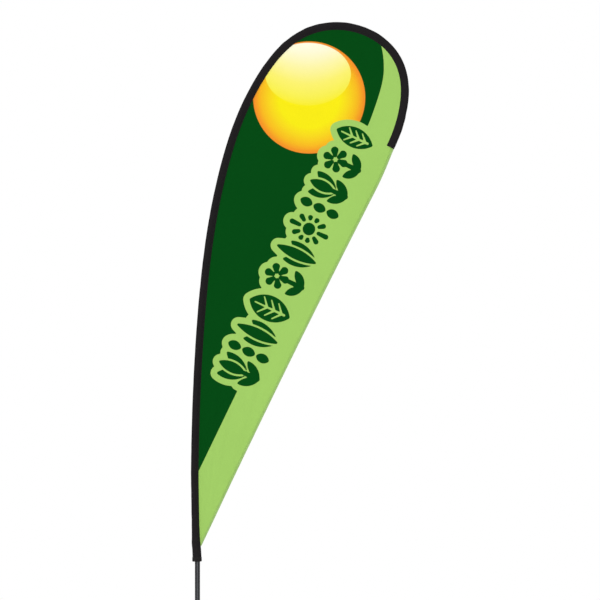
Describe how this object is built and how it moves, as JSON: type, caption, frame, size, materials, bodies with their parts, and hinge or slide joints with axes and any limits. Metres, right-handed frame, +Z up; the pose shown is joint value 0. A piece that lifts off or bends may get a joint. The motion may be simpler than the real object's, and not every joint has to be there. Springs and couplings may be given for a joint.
{
  "type": "teardrop flag",
  "caption": "Teardrop feather flag: a printed sail on a bowed pole, turning on a bearing spindle over a folding cross base.",
  "frame": {"origin": "on the floor, under the spindle's axis, at the centre of the cross base", "axes": "+Z up along the spindle; the pole bows towards +X and the sail lies in the XZ plane; the printed front faces -Y"},
  "size_m": [1.2419, 0.6792, 2.7966],
  "materials": {
    "sail_cloth": "matte",
    "sleeve_cloth": "matte",
    "webbing": "matte",
    "pole_tube": "satin",
    "fibreglass": "satin",
    "ferrule_steel": "satin",
    "black_plastic": "matte",
    "rubber": "matte",
    "nylon": "satin",
    "leg_steel": "satin",
    "zinc_steel": "satin",
    "bearing_steel": "polished",
    "turned_steel": "satin",
    "brass": "satin"
  },
  "bodies": {
    "base": {"upper_leg": "leg_steel", "foot_1": "rubber", "foot_screw_1": "zinc_steel", "foot_2": "rubber", "foot_screw_2": "zinc_steel", "pivot_bolt": "zinc_steel", "centre_foot": "rubber", "leg_washer": "nylon", "lock_washer": "zinc_steel", "clamp_nut": "zinc_steel", "bearing_nut": "zinc_steel", "lower_inner_race": "bearing_steel", "upper_inner_race": "bearing_steel", "bearing_spacer": "zinc_steel"},
    "folding_leg": {"lower_leg": "leg_steel", "foot_3": "rubber", "foot_screw_3": "zinc_steel", "foot_4": "rubber", "foot_screw_4": "zinc_steel"},
    "ball_cages": {"lower_ball_cage": "brass", "upper_ball_cage": "brass"},
    "rotor": {"bearing_housing": "turned_steel", "lower_outer_race": "bearing_steel", "upper_outer_race": "bearing_steel", "dust_seal": "rubber", "set_screw_1": "zinc_steel", "set_screw_2": "zinc_steel", "set_screw_3": "zinc_steel", "spindle": "turned_steel", "o_ring_1": "rubber", "o_ring_2": "rubber"},
    "pole_and_sail": {"base_tube": "pole_tube", "joint_collar": "black_plastic", "lower_section": "fibreglass", "middle_section": "fibreglass", "lower_ferrule": "ferrule_steel", "middle_ferrule": "ferrule_steel", "tip_rod": "fibreglass", "tip_cap": "black_plastic", "sleeve_cuff": "sleeve_cloth", "pole_sleeve": "sleeve_cloth", "end_pocket": "webbing", "flag_panel": "sail_cloth", "trailing_hem": "sail_cloth", "tension_strap": "webbing", "strap_eyelet": "brass", "tension_stud": "zinc_steel"}
  },
  "joints": [
    {"name": "leg_fold", "type": "hinge", "parent": "base", "child": "folding_leg", "pos_m": [0, 0, 0.017], "axis": [0, 0, 1], "range_deg": [-90, 90]},
    {"name": "flag_spin", "type": "hinge", "parent": "base", "child": "rotor", "pos_m": [0, 0, 0.055], "axis": [0, 0, 1], "continuous": true},
    {"name": "cage_spin", "type": "hinge", "parent": "base", "child": "ball_cages", "pos_m": [0, 0, 0.055], "axis": [0, 0, 1], "continuous": true},
    {"name": "pole_lift", "type": "slide", "parent": "rotor", "child": "pole_and_sail", "axis": [0, 0, 1], "range_m": [0, 0.24]}
  ],
  "couplings": [
    {"joint": "cage_spin", "follows": "flag_spin", "ratio": 0.586}
  ]
}
